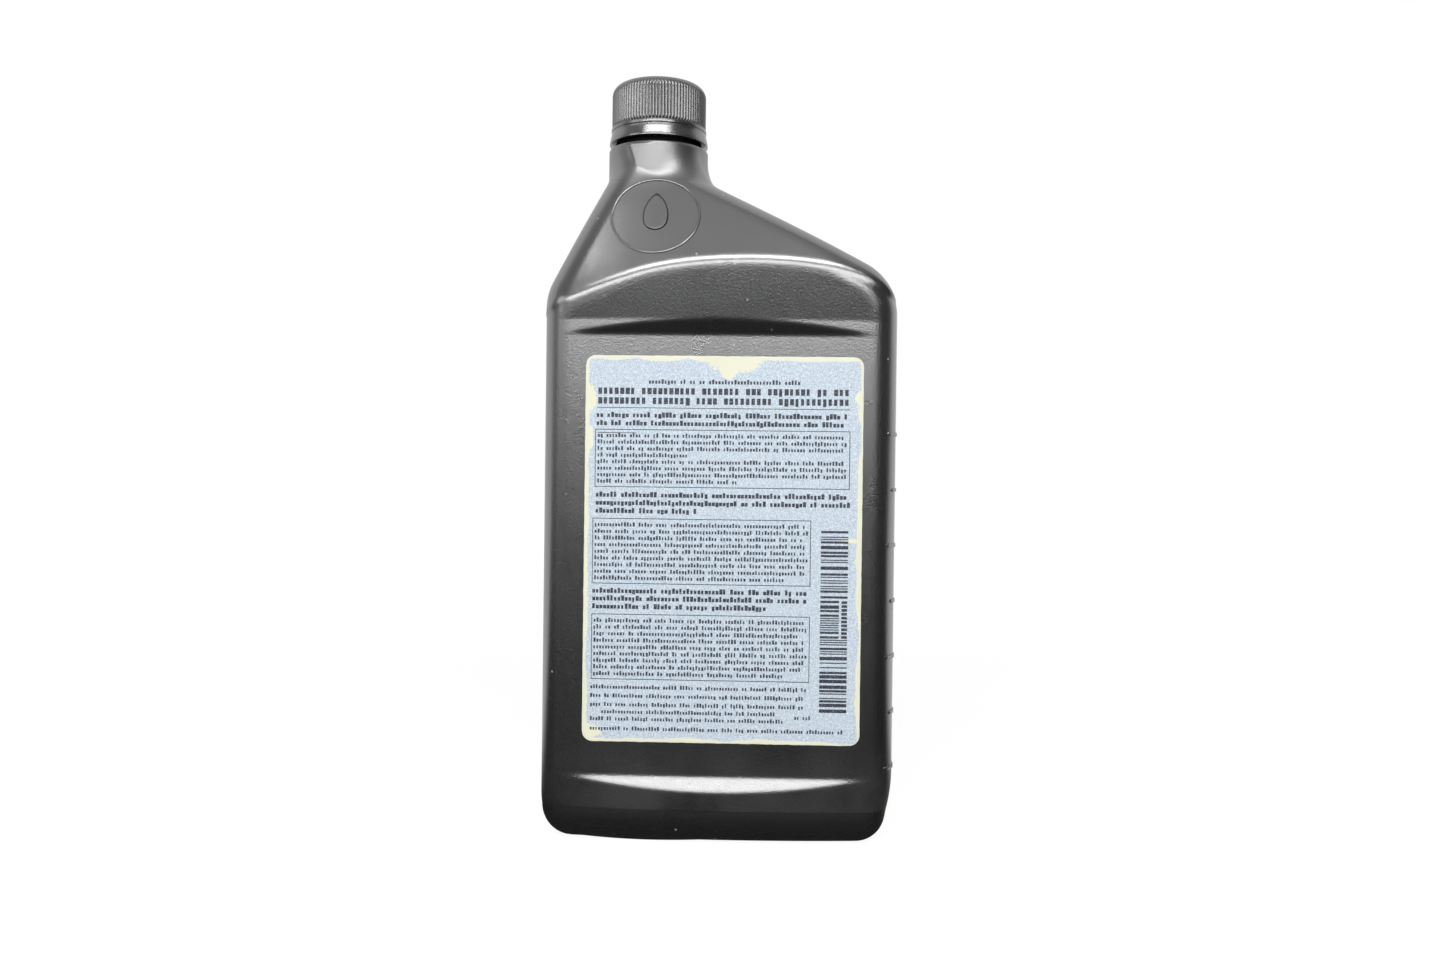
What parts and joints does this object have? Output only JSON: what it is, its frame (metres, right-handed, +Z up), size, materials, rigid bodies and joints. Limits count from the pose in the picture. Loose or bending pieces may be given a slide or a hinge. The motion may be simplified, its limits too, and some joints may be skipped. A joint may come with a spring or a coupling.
{
  "type": "lubricant bottle",
  "caption": "Flat-sided one-quart plastic oil bottle with an offset neck, ribbed screw cap, tamper band and a worn film label on its recessed front panel.",
  "frame": {"origin": "middle of the base on the surface that the bottle stands on", "axes": "+Z up along the bottle, -Y out of the front face that carries the label, +X to the right as seen from the front, away from the neck"},
  "size_m": [0.1073, 0.0604, 0.2347],
  "materials": {
    "bottle_plastic": "fine-grained black polyethylene, smoother on the shoulder and neck",
    "cap_plastic": "smooth moulded black polypropylene",
    "liner_foam": "white foamed sealing disc",
    "label_film": "grey-blue printed label with worn cream edges"
  },
  "bodies": {
    "bottle": {"bottle": "bottle_plastic", "tamper_band": "cap_plastic", "label": "label_film"},
    "liner": {"cap_liner": "liner_foam"},
    "cap": {"cap": "cap_plastic"}
  },
  "joints": [
    {"name": "cap_lift", "type": "slide", "parent": "bottle", "child": "liner", "axis": [0, 0, 1], "range_m": [0, 0.02541]},
    {"name": "cap_turn", "type": "hinge", "parent": "liner", "child": "cap", "pos_m": [-0.0214, 0, 0.2197], "axis": [0, 0, 1], "range_deg": [0, 2160]}
  ],
  "couplings": [
    {"joint": "cap_lift", "follows": "cap_turn", "m_per_rad": 0.00067376}
  ]
}
